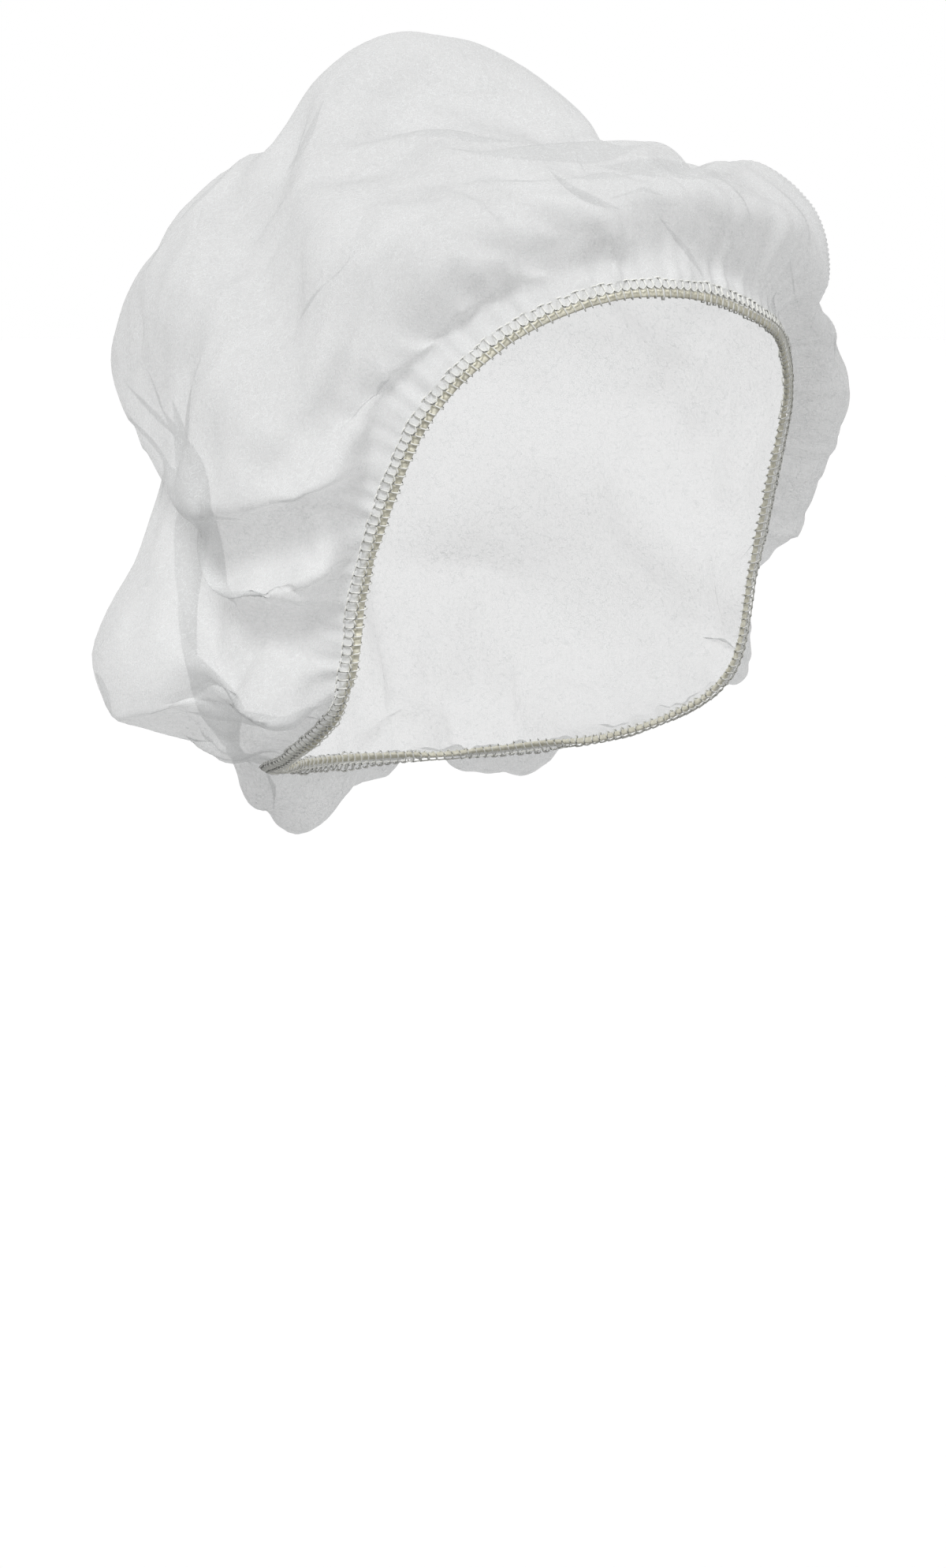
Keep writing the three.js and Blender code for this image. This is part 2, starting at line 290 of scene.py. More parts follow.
def smooth_noise(nodes, place, scale, detail, distortion=0.0):
    """Smooth noise with a scale per metre."""
    texture = nodes.add("ShaderNodeTexNoise")
    texture.inputs["Scale"].default_value = scale
    texture.inputs["Detail"].default_value = detail
    texture.inputs["Distortion"].default_value = distortion
    nodes.join(place, texture.inputs["Vector"])
    return texture.outputs["Fac"]


def tinted(nodes, share, tint):
    """The colour of a share between the two colours of a tint."""
    ramp = nodes.add("ShaderNodeValToRGB")
    for element, (position, colour) in zip(ramp.color_ramp.elements, tint):
        element.position = position
        element.color = linear(*colour)
    nodes.join(share, ramp.inputs["Fac"])
    return ramp.outputs["Color"]


def fine_relief(nodes, height, relief):
    """The normal of a surface with fine relief."""
    strength, distance = relief
    bump = nodes.add("ShaderNodeBump")
    bump.inputs["Strength"].default_value = strength
    bump.inputs["Distance"].default_value = distance * MM
    nodes.join(height, bump.inputs["Height"])
    return bump.outputs["Normal"]


def finished(nodes, colour, normal, finish):
    """A surface with a colour, a normal and the settings of its finish."""
    surface = nodes.add("ShaderNodeBsdfPrincipled")
    for name, value in finish.items():
        surface.inputs[name].default_value = value
    nodes.join(colour, surface.inputs["Base Color"])
    nodes.join(normal, surface.inputs["Normal"])
    return surface.outputs[0]


def mixed(nodes, first, second):
    """A mix of two surfaces, with the share of the second one to set."""
    mix = nodes.add("ShaderNodeMixShader")
    nodes.join(first, mix.inputs[1])
    nodes.join(second, mix.inputs[2])
    return mix


def set_surface(nodes, surface):
    output = nodes.add("ShaderNodeOutputMaterial")
    nodes.join(surface, output.inputs["Surface"])


def fibre_lines(nodes, place):
    """Thin curled lines: the places where smooth noise crosses its middle value, in several layers."""
    total = None
    for scale, width, shift in FIBRE_LAYERS:
        mapping = nodes.add("ShaderNodeMapping")
        mapping.inputs["Location"].default_value = shift
        nodes.join(place, mapping.inputs["Vector"])
        wander = smooth_noise(nodes, mapping.outputs["Vector"], scale, FIBRE_DETAIL, FIBRE_CURL)
        off_middle = nodes.math("ABSOLUTE", nodes.math("SUBTRACT", wander, NOISE_MIDDLE))
        line = nodes.math("SUBTRACT", 1.0, nodes.math("DIVIDE", off_middle, width), clamp=True)
        total = line if total is None else nodes.math("ADD", total, line)
    return nodes.math("MULTIPLY", total, FIBRE_SHARE, clamp=True)


def nonwoven_material():
    """Sheer white web: see-through between its fibres, denser where they crowd together and at the hem."""
    material, nodes = new_material("white_nonwoven")
    place = nodes.add("ShaderNodeTexCoord").outputs["Object"]
    fibres = fibre_lines(nodes, place)
    cloud = smooth_noise(nodes, place, PATCH_SCALE, PATCH_DETAIL)
    patches = nodes.math("MULTIPLY", nodes.math("SUBTRACT", cloud, NOISE_MIDDLE), CLOTH_PATCHES)
    cover = nodes.math("ADD", fibres, patches)
    colour = tinted(nodes, cover, CLOTH_TINT)
    normal = fine_relief(nodes, cover, CLOTH_RELIEF)
    face = finished(nodes, colour, normal, CLOTH_FINISH)
    through = nodes.add("ShaderNodeBsdfTranslucent")
    nodes.join(colour, through.inputs["Color"])
    nodes.join(normal, through.inputs["Normal"])
    cloth = mixed(nodes, face, through.outputs[0])
    cloth.inputs["Fac"].default_value = CLOTH_GLOW
    gather = nodes.add("ShaderNodeAttribute", attribute_name="gather")
    dense = nodes.math("ADD", nodes.math("MULTIPLY", gather.outputs["Fac"], HEM_OPACITY), CLOTH_OPACITY)
    opacity = nodes.math("ADD", nodes.math("MULTIPLY", cover, FIBRE_OPACITY), dense, clamp=True)
    clear = nodes.add("ShaderNodeBsdfTransparent")
    sheer = mixed(nodes, clear.outputs[0], cloth.outputs[0])
    nodes.join(opacity, sheer.inputs["Fac"])
    set_surface(nodes, sheer.outputs[0])
    return material


def spun_material(name, scale, detail, tint, relief, finish):
    """A spun or covered yarn, whose colour and relief follow one smooth noise."""
    material, nodes = new_material(name)
    place = nodes.add("ShaderNodeTexCoord").outputs["Object"]
    fuzz = smooth_noise(nodes, place, scale, detail)
    colour = tinted(nodes, fuzz, tint)
    normal = fine_relief(nodes, fuzz, relief)
    set_surface(nodes, finished(nodes, colour, normal, finish))
    return material


def thread_material():
    """White spun thread."""
    return spun_material(
        "white_thread", FUZZ_SCALE, FUZZ_DETAIL, THREAD_TINT, THREAD_RELIEF, THREAD_FINISH,
    )


def elastic_material():
    """Covered beige elastic, mottled by its yarns."""
    return spun_material(
        "beige_elastic", YARN_SCALE, YARN_DETAIL, ELASTIC_TINT, ELASTIC_RELIEF, ELASTIC_FINISH,
    )


# Crown: the sheet's grid

def outer_wall():
    """The outer wall of the solid crown, as welded triangles."""
    wall = bmesh.new()
    wall.from_mesh(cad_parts["crown"].data)
    bmesh.ops.remove_doubles(wall, verts=wall.verts, dist=MERGE)
    top = max(wall.faces, key=lambda face: face.calc_center_median().z)
    kept = {top}
    waiting = [top]
    while waiting:
        face = waiting.pop()
        for edge in face.edges:
            if len(edge.link_faces) == 2 and edge.calc_face_angle() < WALL_CORNER:
                fresh = [other for other in edge.link_faces if other not in kept]
                kept.update(fresh)
                waiting.extend(fresh)
    bmesh.ops.delete(wall, geom=[face for face in wall.faces if face not in kept], context="FACES")
    wall.verts.index_update()
    wall.verts.ensure_lookup_table()
    return wall


def rim_verts(wall):
    """The rim's vertices in order, from the forehead towards the wearer's left."""
    rim = [vert for vert in wall.verts if vert.is_boundary]
    first = min((vert for vert in rim if vert.co.y < 0), key=lambda vert: abs(vert.co.x))

    def beside(vert):
        return [edge.other_vert(vert) for edge in vert.link_edges if edge.is_boundary]

    loop = [first, max(beside(first), key=lambda vert: vert.co.x)]
    while len(loop) < len(rim):
        loop.append(next(vert for vert in beside(loop[-1]) if vert is not loop[-2]))
    return loop


def square_place(turn):
    """The place of a turn, in degrees, on the edge of a square that reaches from -1 to 1."""
    side, share = divmod((turn + 45) % 360, 90)
    step = share / 45 - 1
    return ((step, -1), (1, step), (-step, 1), (-1, -step))[int(side)]


def square_turns(x, y):
    """The turns, in degrees, of places in that square."""
    across = np.abs(x) > np.abs(y)
    larger = np.where(across, x, y)
    lean = np.where(across, y, -x) / np.where(larger == 0, 1, larger)
    middle = np.where(across, np.where(x > 0, 90, 270), np.where(y > 0, 180, 0))
    return (middle + 45 * lean) % 360


def ring_inside(turns, seen):
    """The next ring of vertices inwards, in order: each lies behind the middle of those that it joins."""
    inner = {edge.other_vert(vert) for vert in turns for edge in vert.link_edges} - seen
    behind = {}
    for vert in inner:
        outer = [turns[edge.other_vert(vert)] for edge in vert.link_edges if edge.other_vert(vert) in turns]
        middle = sum(cmath.rect(1, math.radians(turn)) for turn in outer)
        behind[vert] = math.degrees(cmath.phase(middle)) % 360
    order = deque(sorted(inner, key=behind.get))
    lead = [behind[vert] * len(order) / 360 - step for step, vert in enumerate(order)]
    order.rotate(round(sum(lead) / max(1, len(lead))))
    return order


def sheet_grid(wall):
    """The crown's points as the square grid that the round sheet was laid out on."""
    ring = rim_verts(wall)
    half = len(ring) // 8
    grid = np.zeros((2 * half + 1, 2 * half + 1, 3))
    seen = set()
    for reach in range(half, -1, -1):
        turns = {vert: 360 * step / len(ring) for step, vert in enumerate(ring)}
        for vert, turn in turns.items():
            x, y = square_place(turn)
            grid[round(half + y * reach), round(half + x * reach)] = vert.co
        seen |= turns.keys()
        ring = ring_inside(turns, seen)
    return grid


def spline_steps(points, times):
    """More points along the first axis of an array, on smooth curves through those that it has."""
    before = 2 * points[:1] - points[1:2]
    after = 2 * points[-1:] - points[-2:-1]
    row = np.concatenate((before, points, after))
    p0, p1, p2, p3 = (row[i:len(row) - 3 + i, None] for i in range(4))
    t = (np.arange(times) / times).reshape(1, times, *[1] * (points.ndim - 1))
    curve = p1 + t / 2 * (p2 - p0 + t * (2 * p0 - 5 * p1 + 4 * p2 - p3 + t * (3 * p1 - p0 - 3 * p2 + p3)))
    return np.concatenate((curve.reshape(-1, *points.shape[1:]), points[-1:]))


def finer_grid(grid, times):
    along = spline_steps(grid, times)
    return spline_steps(along.swapaxes(0, 1), times).swapaxes(0, 1)


class Sheet:
    """The cloth's grid of points, with the turn, level and flat place of each."""

    def __init__(self, grid):
        self.points = grid
        self.half = len(grid) // 2
        span = np.linspace(-1, 1, len(grid))
        x, y = np.meshgrid(span, span)
        self.turns = square_turns(x, y)
        self.levels = (1 - np.maximum(np.abs(x), np.abs(y))) ** RIM_CROWDING
        self.flat = flat_place(self.turns, self.levels)

    def normals(self):
        down, right = np.gradient(self.points, axis=0), np.gradient(self.points, axis=1)
        outward = np.cross(right, down)
        return outward / np.linalg.norm(outward, axis=2)[:, :, None]

    def raise_by(self, height):
        self.points = self.points + self.normals() * height[:, :, None] * MM

    def ring(self, depth):
        """The points of one ring of the grid, in the order of their turns."""
        reach = self.half - depth
        places = [square_place(360 * step / (8 * reach)) for step in range(8 * reach)]
        cells = [(round(self.half + y * reach), round(self.half + x * reach)) for x, y in places]
        return np.array([self.points[cell] for cell in cells])

    def mesh(self, name):
        size = len(self.points)
        faces = []
        for row in range(size - 1):
            for column in range(size - 1):
                here = row * size + column
                faces.append((here, here + size, here + size + 1, here + 1))
        made = bpy.data.meshes.new(name)
        made.from_pydata(self.points.reshape(-1, 3).tolist(), [], faces)
        return made


def flat_place(turn, level):
    """Where a turn and level lie on the flat round sheet, in mm from its middle."""
    angle = np.radians(turn)
    radius = SHEET_DIAMETER / 2 / MM * (1 - level)
    return np.stack((radius * np.sin(angle), -radius * np.cos(angle)), axis=-1)


# Crown: folds, gathers and buckles

def eased(share):
    """A share from 0 to 1 that starts and ends gently."""
    share = np.clip(share, 0, 1)
    return share ** 2 * (3 - 2 * share)


def from_forehead(turns):
    """How far turns lie from the forehead, to either side."""
    return np.abs((turns + 180) % 360 - 180)


def crease_rows():
    """Fine creases, in rows with the columns of the fold table."""
    random = np.random.default_rng(CREASE_SEED)
    rows = []
    for number in range(CREASE_COUNT):
        turn = random.uniform(*CREASE_TURN)
        level = random.uniform(*CREASE_LEVEL)
        to_turn = turn + random.uniform(*CREASE_LEAN)
        to_level = level + random.uniform(*CREASE_CLIMB)
        width = random.uniform(*CREASE_WIDTH)
        rise = random.uniform(*CREASE_RISE)
        rows.append((f"crease {number}", turn, level, to_turn, to_level, width, rise, 1))
    return rows


def fold_heights(sheet):
    """Pleats pulled into the front, each a ridge that is steeper on one side and dies out at its ends."""
    total = np.zeros(sheet.levels.shape)
    for _, from_turn, from_level, to_turn, to_level, width, rise, sharp in (*FOLD_ROWS, *crease_rows()):
        start, end = flat_place(from_turn, from_level), flat_place(to_turn, to_level)
        line = end - start
        length = np.linalg.norm(line)
        away = sheet.flat - start
        share = away @ line / length ** 2
        aside = (away @ np.array((line[1], -line[0]))) / length / width
        aside = aside * np.where(aside * sharp > 0, 1 / FOLD_SHARP, 1 / FOLD_SOFT)
        fade = np.clip(share / FOLD_FADE_IN, 0, 1) * np.clip((1 - share) / FOLD_FADE_OUT, 0, 1)
        total += rise * np.exp(-aside ** 2) * eased(fade)
    return total


def gather_heights(sheet):
    """Uneven gathers up from the hem: narrow there, wider and lower further up."""
    random = np.random.default_rng(GATHER_SEED)
    spacing = 360 / GATHER_COUNT
    rim_width = math.pi * SHEET_DIAMETER / MM / 360
    total = np.zeros(sheet.levels.shape)
    for number in range(GATHER_COUNT):
        turn = (number + random.uniform(-GATHER_JITTER, GATHER_JITTER)) * spacing
        width = random.uniform(*GATHER_WIDTH)
        reach = random.uniform(*GATHER_REACH)
        rise = random.uniform(*GATHER_RISE)
        lean = random.uniform(-GATHER_LEAN, GATHER_LEAN)
        share = sheet.levels / reach
        offset = (sheet.turns - turn - lean * share + 180) % 360 - 180
        aside = offset * rim_width / width / (1 + share)
        fade = np.clip(GATHER_STEEPNESS * share, 0, 1) * np.exp(-share ** 2)
        total += rise * np.exp(-aside ** 2) * fade
    front = 1 - np.clip(from_forehead(sheet.turns) / TAUT_TURN[1], 0, 1)
    return total * (1 - (1 - FOREHEAD_SHARE) * front)


def slackness(sheet):
    """How much spare cloth there is at each place: least where the front is pulled taut."""
    side = from_forehead(sheet.turns)
    round_side = np.clip((side - TAUT_TURN[0]) / (TAUT_TURN[1] - TAUT_TURN[0]), 0, 1)
    near_top = np.clip((sheet.levels - TAUT_LEVEL[0]) / (TAUT_LEVEL[1] - TAUT_LEVEL[0]), 0, 1)
    return np.maximum(TAUT_SHARE, np.maximum(round_side, near_top))


def hem_hold(sheet):
    """How firmly the hem holds the cloth at each place: fully at the rim, and not at all further up."""
    return 1 - np.clip((sheet.levels - HELD_HEM[0]) / (HELD_HEM[1] - HELD_HEM[0]), 0, 1)


def smooth(sheet, weight, rounds):
    """Moves each point inside the rim towards the middle of its neighbours."""
    inner = (slice(1, -1), slice(1, -1))
    for _ in range(rounds):
        at = sheet.points
        beside = (at[2:, 1:-1] + at[:-2, 1:-1] + at[1:-1, 2:] + at[1:-1, :-2]) / 4
        sheet.points[inner] += (beside - at[inner]) * weight[inner][:, :, None]


def buckle(sheet, frames, most, patch_size, hold, bending, farthest, rounds):
    """Lets the cloth, made a little too large, buckle while the hem holds it."""
    piece = add_object("buckling", sheet.mesh("buckling"))
    start = sheet.points.reshape(-1, 3)
    firm = hem_hold(sheet)
    holds = (hold + (1 - hold) * firm).ravel()
    slack = (slackness(sheet) * (1 - firm)).ravel()
    held = piece.vertex_groups.new(name="held")
    fixed = piece.vertex_groups.new(name="fixed")
    for index, point in enumerate(start):
        held.add([index], holds[index], "REPLACE")
        patch = PATCH_MIDDLE + PATCH_SWING * noise.noise(Vector(point) / (patch_size * MM))
        fixed.add([index], 1 - min(1.0, max(0.0, patch)) * slack[index], "REPLACE")
    cloth = piece.modifiers.new("cloth", "CLOTH")
    cloth.settings.quality = CLOTH_QUALITY
    cloth.settings.mass = CLOTH_MASS
    cloth.settings.tension_stiffness = CLOTH_STRETCH
    cloth.settings.compression_stiffness = CLOTH_STRETCH
    cloth.settings.shear_stiffness = CLOTH_SHEAR
    cloth.settings.bending_stiffness = bending
    cloth.settings.air_damping = CLOTH_DAMPING
    cloth.settings.vertex_group_mass = "held"
    cloth.settings.vertex_group_shrink = "fixed"
    cloth.settings.shrink_min = -most
    cloth.settings.shrink_max = 0
    cloth.settings.effector_weights.gravity = CLOTH_GRAVITY
    cloth.collision_settings.use_collision = False
    cloth.point_cache.frame_end = frames
    scene = bpy.context.scene
    for step in range(1, frames + 1):
        scene.frame_set(step)
    buckled = piece.evaluated_get(bpy.context.evaluated_depsgraph_get()).to_mesh()
    moved = mesh_points(buckled) - start
    length = np.linalg.norm(moved, axis=1)
    limit = farthest * MM
    moved *= (limit * np.tanh(length / limit) / np.maximum(length, LEAST_MOVE))[:, None]
    scene.frame_set(1)
    bpy.data.objects.remove(piece)
    sheet.points = (start + moved).reshape(sheet.points.shape)
    smooth(sheet, WRINKLE_SMOOTHING * (1 - firm), rounds)


def mesh_points(mesh):
    points = np.empty(3 * len(mesh.vertices))
    mesh.vertices.foreach_get("co", points)
    return points.reshape(-1, 3)


def rim_distances(sheet):
    """The distance of each point from the rim."""
    rim = sheet.ring(0)
    tree = kdtree.KDTree(len(rim))
    for index, point in enumerate(rim):
        tree.insert(point, index)
    tree.balance()
    distances = [tree.find(point)[2] for point in sheet.points.reshape(-1, 3)]
    return np.array(distances).reshape(sheet.levels.shape)


def between_rows(turns, row_turns, row_values):
    """Values for turns between the rows of a table, without a bend at the rows."""
    after = np.clip(np.searchsorted(row_turns, turns, side="right"), 1, len(row_turns) - 1)
    share = eased((turns - row_turns[after - 1]) / (row_turns[after] - row_turns[after - 1]))
    return row_values[after - 1] * (1 - share) + row_values[after] * share


def lay_hem(sheet):
    """Lays the cloth next to the rim along its rounded form, and lets it come away further up."""
    rim = sheet.ring(0)
    away = rim / MM / np.array(HEM_FORM)
    away /= np.linalg.norm(away, axis=1)[:, None]
    along = np.roll(rim, -1, axis=0) - np.roll(rim, 1, axis=0)
    upward = np.cross(away, along)
    upward /= np.linalg.norm(upward, axis=1)[:, None]
    place = sheet.turns / 360 * len(rim)
    first = np.floor(place).astype(int) % len(rim)
    share = (place % 1)[:, :, None]

    def at_turn(values):
        return values[first] * (1 - share) + values[(first + 1) % len(rim)] * share

    foot = at_turn(rim)
    reach = np.linalg.norm(sheet.points - foot, axis=2)[:, :, None]
    laid = foot + reach * (at_turn(upward) + HEM_LEAN * at_turn(away))
    row_turns, row_flat, row_free = np.array(HEM_ROWS).T
    flat_to = between_rows(sheet.turns, row_turns, row_flat)[:, :, None]
    free_from = between_rows(sheet.turns, row_turns, row_free)[:, :, None]
    free = eased((reach / MM - flat_to) / (free_from - flat_to))
    sheet.points = laid + (sheet.points - laid) * free
    above_stitches = np.clip(reach / MM - HEM_STITCHED, 0, 1)
    smooth(sheet, ((1 - free) * above_stitches)[:, :, 0], HEM_SMOOTHING)


def crimp_heights(sheet, distance):
    """Fine uneven puckers just above the hem."""
    rim = sheet.ring(0)
    rim_length = np.sum(np.linalg.norm(np.roll(rim, -1, axis=0) - rim, axis=1)) / MM
    random = np.random.default_rng(CRIMP_SEED)
    total = np.zeros(sheet.levels.shape)
    round_angle = np.radians(sheet.turns)
    for wavelength, rise in CRIMP_WAVES:
        count = round(rim_length / wavelength)
        phase, drift = random.uniform(0, 2 * math.pi, 2)
        swell = 1 + CRIMP_SWELL * np.sin(round_angle * round(count / CRIMPS_PER_SWELL) + drift)
        total += rise * swell * np.sin(round_angle * count + phase)
    return total * np.clip(distance / CRIMP_START, 0, 1) * np.exp(-((distance / CRIMP_REACH) ** 2))


def make_sheet():
    """The buckled sheet on a fine grid, with its pleats and gathers."""
    sheet = Sheet(sheet_grid(outer_wall()))
    sheet.raise_by(-START_INSET * slackness(sheet) * (1 - hem_hold(sheet)))
    for _, refined, *settings in BUCKLE_STAGES:
        sheet = Sheet(finer_grid(sheet.points, refined))
        buckle(sheet, *settings)
    sheet = Sheet(finer_grid(sheet.points, DRAPE_REFINED))
    lay_hem(sheet)
    sheet.raise_by(fold_heights(sheet) + gather_heights(sheet))
    return sheet


def make_crown(sheet, material):
    distance = rim_distances(sheet)
    sheet.raise_by(crimp_heights(sheet, distance))
    cloth = sheet.mesh("crown")
    gather = cloth.attributes.new("gather", "FLOAT", "POINT")
    gather.data.foreach_set("value", np.exp(-distance / GATHER_DENSE).ravel())
    shade_smooth(cloth)
    cloth.materials.append(material)
    return add_object("crown_cloth", cloth)


def rim_frame(sheet):
    """The rim's points, with the directions up the cloth and outwards at each."""
    points = sheet.ring(0)
    above = sheet.ring(HEM_CELLS)
    own = np.arange(len(points)) / len(points)
    theirs = np.arange(len(above) + 1) / len(above)
    closed = np.concatenate((above, above[:1]))
    up = np.stack([np.interp(own, theirs, closed[:, axis]) for axis in range(3)], axis=1) - points
    along = np.roll(points, -1, axis=0) - np.roll(points, 1, axis=0)
    along /= np.linalg.norm(along, axis=1)[:, None]
    up -= along * np.sum(along * up, axis=1)[:, None]
    up /= np.linalg.norm(up, axis=1)[:, None]
    return points, up, np.cross(along, up)


# Elastic and stitches

def finer_loop(values, times):
    """A closed run of points or directions with more steps between them, on straight lines."""
    nexts = np.roll(values, -1, axis=0)
    shares = np.arange(times) / times
    return (values[:, None] + (nexts - values)[:, None] * shares[None, :, None]).reshape(-1, 3)


def make_elastic(points, up, out, material):
    """A flat covered elastic inside the edge, with slanting ribs across it."""
    length = np.sum(np.linalg.norm(np.roll(points, -1, axis=0) - points, axis=1))
    ribs = round(length / ELASTIC_RIB_PITCH)
    times = math.ceil(ribs * ELASTIC_STEPS_PER_RIB / len(points))
    middle, side, outward = (finer_loop(values, times) for values in (points, up, out))
    middle = middle + side * ELASTIC_RISE - outward * ELASTIC_INSET
    steps = len(middle)
    verts = []
    for step in range(steps):
        for corner in range(ELASTIC_SIDES):
            angle = 2 * math.pi * corner / ELASTIC_SIDES
            wave = 2 * math.pi * (step / steps) * ribs + ELASTIC_RIB_SLANT * math.sin(angle)
            rib = 1 + ELASTIC_RIB_DEPTH * math.cos(wave)
            width = ELASTIC_HALF_WIDTH * math.cos(angle)
            thickness = ELASTIC_HALF_THICKNESS * rib * math.sin(angle)
            verts.append(middle[step] + side[step] * width + outward[step] * thickness)
    faces = []
    for step in range(steps):
        for corner in range(ELASTIC_SIDES):
            here = step * ELASTIC_SIDES + corner
            beside = step * ELASTIC_SIDES + (corner + 1) % ELASTIC_SIDES
            ahead = (step + 1) % steps * ELASTIC_SIDES
            faces.append((here, beside, ahead + beside % ELASTIC_SIDES, ahead + corner))
    mesh = bpy.data.meshes.new("elastic")
    mesh.from_pydata(verts, [], faces)
    shell = bmesh.new()
    shell.from_mesh(mesh)
    bmesh.ops.recalc_face_normals(shell, faces=shell.faces)
    shell.to_mesh(mesh)
    shade_smooth(mesh)
    mesh.materials.append(material)
    return add_object("elastic_cord", mesh)


# One overlock stitch, in millimetres: along the edge, up the cloth and outwards from it
STITCH_THREADS = {
    "wrap": (
        (0.0, NEEDLE_LINE, -0.1), (0.15, 2.1, 0.5), (0.35, 0.8, 0.55), (0.6, -0.9, 0.2), (0.85, -2.1, -0.3),
        (1.1, -2.65, -1.2), (1.3, -2.2, -2.1), (1.6, 0.2, -2.3), (1.9, 1.7, -1.3),
        (2.4, NEEDLE_LINE - 0.1, -0.3),
    ),
    "edge loop": (
        (0.2, 0.3, 0.75), (0.8, -0.35, 0.6), (1.7, -0.5, 0.6), (2.4, -0.1, 0.75), (2.8, 0.45, 0.75),
    ),
    "needle": (
        (-1.0, NEEDLE_LINE, -0.15), (-0.5, NEEDLE_LINE + 0.1, 0.2), (0.5, NEEDLE_LINE + 0.1, 0.2),
        (1.0, NEEDLE_LINE, -0.15),
    ),
}
THREAD_SIDES = 4
STITCH_INPUTS = (
    ("Edge", "NodeSocketGeometry"),
    ("Stitch", "NodeSocketObject"),
    ("Count", "NodeSocketInt"),
    ("Unevenness", "NodeSocketFloat"),
)


def make_stitch():
    """One stitch as a small mesh of thread tubes."""
    verts = []
    faces = []
    for path in STITCH_THREADS.values():
        line = np.array(path) * MM
        direction = np.gradient(line, axis=0)
        direction /= np.linalg.norm(direction, axis=1)[:, None]
        base = len(verts)
        for point, heading in zip(line, direction):
            across = Vector(heading).orthogonal().normalized()
            for corner in range(THREAD_SIDES):
                angle = 2 * math.pi * corner / THREAD_SIDES
                turned = math.cos(angle) * across + math.sin(angle) * Vector(heading).cross(across)
                verts.append(Vector(point) + turned * THREAD_RADIUS)
        for step in range(len(line) - 1):
            for corner in range(THREAD_SIDES):
                here = base + step * THREAD_SIDES
                ahead = here + THREAD_SIDES
                beside = (corner + 1) % THREAD_SIDES
                faces.append((here + corner, here + beside, ahead + beside, ahead + corner))
    mesh = bpy.data.meshes.new("stitch")
    mesh.from_pydata(verts, [], faces)
    shade_smooth(mesh)
    return add_object("stitch", mesh)


def stitch_tree(material):
    """A node tree that sets one stitch after another round a closed line."""
    tree = bpy.data.node_groups.new("overlock_stitches", "GeometryNodeTree")
    nodes = Nodes(tree)
    for name, kind in STITCH_INPUTS:
        tree.interface.new_socket(name, in_out="INPUT", socket_type=kind)
    tree.interface.new_socket("Stitches", in_out="OUTPUT", socket_type="NodeSocketGeometry")
    given = nodes.add("NodeGroupInput").outputs
    line = nodes.add("GeometryNodeMeshToCurve")
    nodes.join(given["Edge"], line.inputs["Mesh"])
    even = nodes.add("GeometryNodeResampleCurve", mode="COUNT")
    nodes.join(line.outputs["Curve"], even.inputs["Curve"])
    nodes.join(given["Count"], even.inputs["Count"])
    outward = nodes.add("GeometryNodeInputNamedAttribute", data_type="FLOAT_VECTOR")
    outward.inputs["Name"].default_value = "outward"
    along = nodes.add("GeometryNodeInputTangent")
    turn = nodes.add("FunctionNodeAxesToRotation", primary_axis="X", secondary_axis="Z")
    nodes.join(along.outputs["Tangent"], turn.inputs["Primary Axis"])
    nodes.join(outward.outputs["Attribute"], turn.inputs["Secondary Axis"])
    source = nodes.add("GeometryNodeObjectInfo", transform_space="ORIGINAL")
    nodes.join(given["Stitch"], source.inputs["Object"])
    low = nodes.math("SUBTRACT", 1.0, given["Unevenness"])
    high = nodes.math("ADD", 1.0, given["Unevenness"])
    size = nodes.add("FunctionNodeRandomValue", data_type="FLOAT")
    size.inputs["Seed"].default_value = STITCH_SEED
    nodes.join(low, size.inputs[2])
    nodes.join(high, size.inputs[3])
    placed = nodes.add("GeometryNodeInstanceOnPoints")
    nodes.join(even.outputs["Curve"], placed.inputs["Points"])
    nodes.join(source.outputs["Geometry"], placed.inputs["Instance"])
    nodes.join(turn.outputs["Rotation"], placed.inputs["Rotation"])
    nodes.join(size.outputs[1], placed.inputs["Scale"])
    real = nodes.add("GeometryNodeRealizeInstances")
    nodes.join(placed.outputs["Instances"], real.inputs["Geometry"])
    coloured = nodes.add("GeometryNodeSetMaterial")
    coloured.inputs["Material"].default_value = material
    nodes.join(real.outputs["Geometry"], coloured.inputs["Geometry"])
    result = nodes.add("NodeGroupOutput")
    nodes.join(coloured.outputs["Geometry"], result.inputs["Stitches"])
    return tree


def make_stitches(points, out, material):
    edge = bpy.data.meshes.new("stitched_edge")
    count = len(points)
    edge.from_pydata([tuple(point) for point in points], [(i, (i + 1) % count) for i in range(count)], [])
    outward = edge.attributes.new("outward", "FLOAT_VECTOR", "POINT")
    outward.data.foreach_set("vector", out.ravel())
    holder = add_object("stitching", edge)
    stitch = make_stitch()
    tree = stitch_tree(material)
    setting = holder.modifiers.new("stitches", "NODES")
    setting.node_group = tree
    length = np.sum(np.linalg.norm(np.roll(points, -1, axis=0) - points, axis=1))
    values = {"Stitch": stitch, "Count": round(length / STITCH_PITCH), "Unevenness": STITCH_UNEVENNESS}
    for item in tree.interface.items_tree:
        if item.in_out == "INPUT" and item.name in values:
            setting[item.identifier] = values[item.name]
    made = bpy.data.meshes.new_from_object(holder.evaluated_get(bpy.context.evaluated_depsgraph_get()))
    bpy.data.objects.remove(holder)
    bpy.data.objects.remove(stitch)
    shade_smooth(made)
    return add_object("overlock_stitches", made)


# Studio

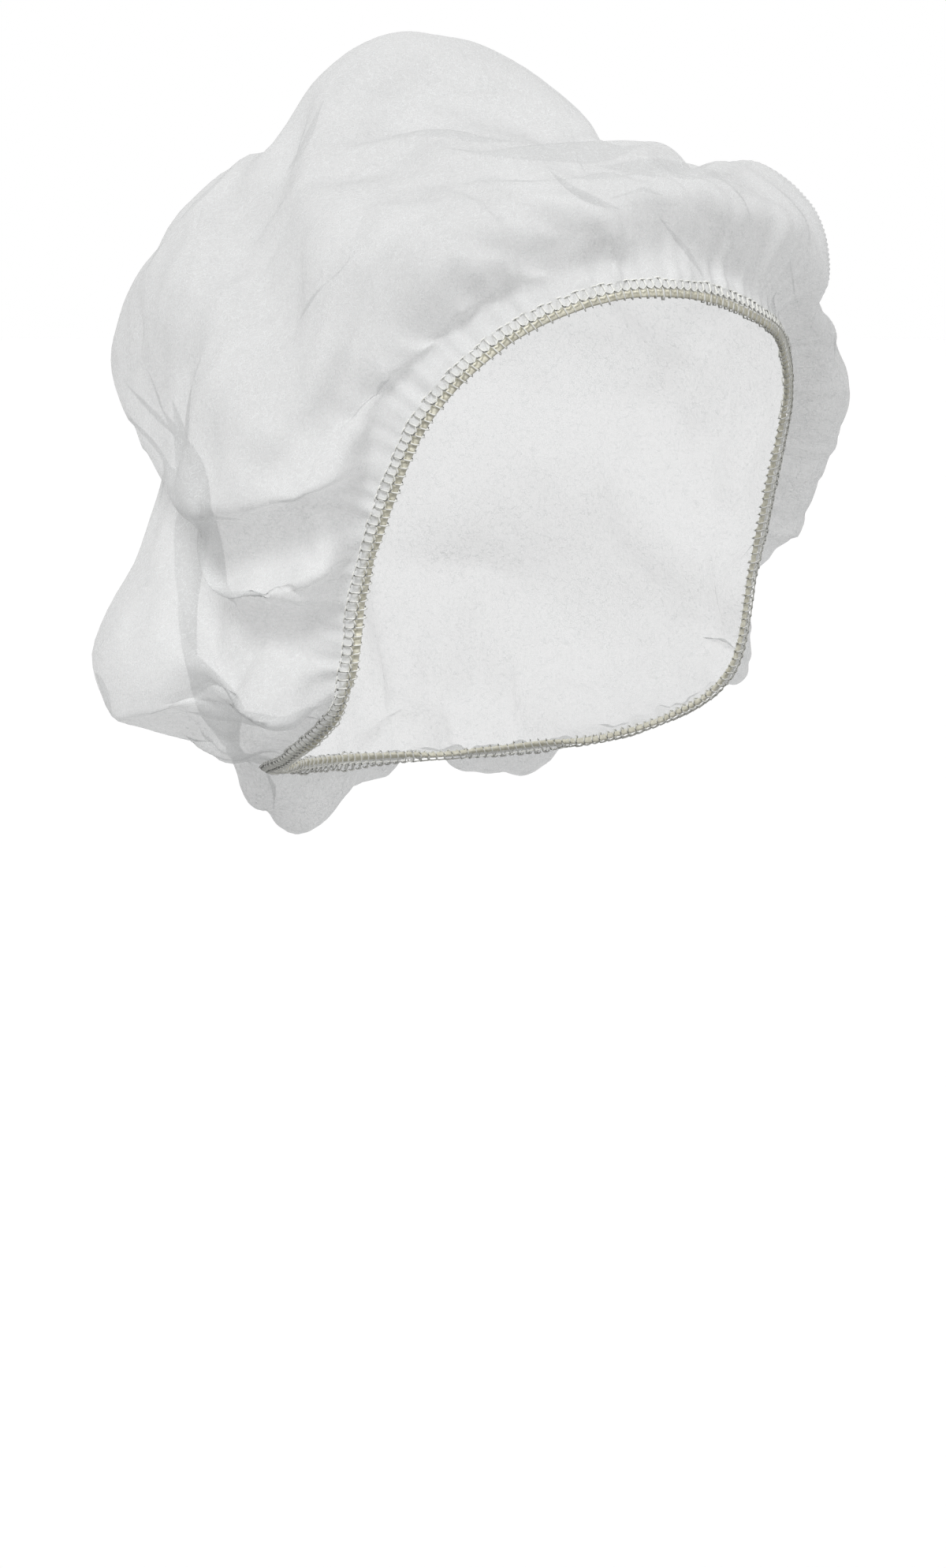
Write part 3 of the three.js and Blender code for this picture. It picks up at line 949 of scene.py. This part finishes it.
def make_floor():
    disc = bmesh.new()
    bmesh.ops.create_circle(disc, cap_ends=True, segments=FLOOR_SIDES, radius=FLOOR_RADIUS)
    bmesh.ops.translate(disc, verts=disc.verts, vec=(0, 0, FLOOR_HEIGHT))
    mesh = bpy.data.meshes.new("floor")
    disc.to_mesh(mesh)
    material, nodes = new_material("pale_floor")
    pale = nodes.add("ShaderNodeBsdfPrincipled")
    pale.inputs["Base Color"].default_value = linear(*FLOOR_COLOUR)
    pale.inputs["Roughness"].default_value = FLOOR_ROUGHNESS
    pale.inputs["Emission Color"].default_value = linear(*WHITE)
    pale.inputs["Emission Strength"].default_value = FLOOR_GLOW
    set_surface(nodes, pale.outputs[0])
    mesh.materials.append(material)
    floor = add_object("floor", mesh)
    floor.visible_diffuse = False
    floor.visible_glossy = False
    floor.visible_transmission = False


def make_light(name, place, softness, strength):
    """A soft sun that shines from a place towards the origin."""
    lamp = bpy.data.lights.new(name, "SUN")
    lamp.angle = math.radians(softness)
    lamp.energy = strength
    light = bpy.data.objects.new(name, lamp)
    light.location = place
    light.rotation_mode = "QUATERNION"
    light.rotation_quaternion = (-Vector(place)).to_track_quat("-Z", "Y")
    bpy.context.scene.collection.objects.link(light)


def make_surround():
    """Soft light from all round, behind which the camera sees the floor's own pale colour."""
    world = bpy.data.worlds.new("studio")
    world.use_nodes = True
    nodes = Nodes(world.node_tree)
    world.node_tree.nodes.clear()
    soft = nodes.add("ShaderNodeBackground")
    soft.inputs["Strength"].default_value = SURROUND_LIGHT
    seen = nodes.add("ShaderNodeBackground")
    seen.inputs["Strength"].default_value = SURROUND_SEEN
    path = nodes.add("ShaderNodeLightPath")
    for background in (soft, seen):
        background.inputs["Color"].default_value = linear(*WHITE)
    either = mixed(nodes, soft.outputs[0], seen.outputs[0])
    nodes.join(path.outputs["Is Camera Ray"], either.inputs["Fac"])
    output = nodes.add("ShaderNodeOutputWorld")
    nodes.join(either.outputs[0], output.inputs["Surface"])
    bpy.context.scene.world = world


def make_studio():
    make_floor()
    make_surround()
    for name, place, softness, strength in LIGHTS:
        make_light(name, place, softness, strength)
    scene = bpy.context.scene
    scene.view_settings.view_transform = "Standard"
    scene.cycles.transparent_max_bounces = SHEER_LAYERS


def make_camera():
    """A camera that sees the origin at its pixel of the photograph."""
    back = Vector((
        math.sin(VIEW_AZIMUTH) * math.cos(VIEW_PITCH), -math.cos(VIEW_AZIMUTH) * math.cos(VIEW_PITCH),
        math.sin(VIEW_PITCH),
    ))
    right = Vector((math.cos(VIEW_AZIMUTH), math.sin(VIEW_AZIMUTH), 0))
    upward = back.cross(right)
    aside = (ORIGIN_PIXEL[0] - IMAGE_SIZE[0] / 2) / PIXELS_PER_M
    above = (IMAGE_SIZE[1] / 2 - ORIGIN_PIXEL[1]) / PIXELS_PER_M
    data = bpy.data.cameras.new("camera")
    data.sensor_width = SENSOR
    data.lens = SENSOR * PIXELS_PER_M * VIEW_DISTANCE / max(IMAGE_SIZE)
    camera = bpy.data.objects.new("camera", data)
    camera.location = back * VIEW_DISTANCE - right * aside - upward * above
    camera.rotation_mode = "QUATERNION"
    camera.rotation_quaternion = (-back).to_track_quat("-Z", "Y")
    bpy.context.scene.collection.objects.link(camera)
    bpy.context.scene.camera = camera


def main():
    make_camera()
    make_studio()
    sheet = make_sheet()
    points, up, out = rim_frame(sheet)
    crown = make_crown(sheet, nonwoven_material())
    elastic = make_elastic(points, up, out, elastic_material())
    stitches = make_stitches(points, out, thread_material())
    for piece in (crown, elastic, stitches):
        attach(piece, "root")
    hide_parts("crown")
    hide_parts("elastic_band")


main()
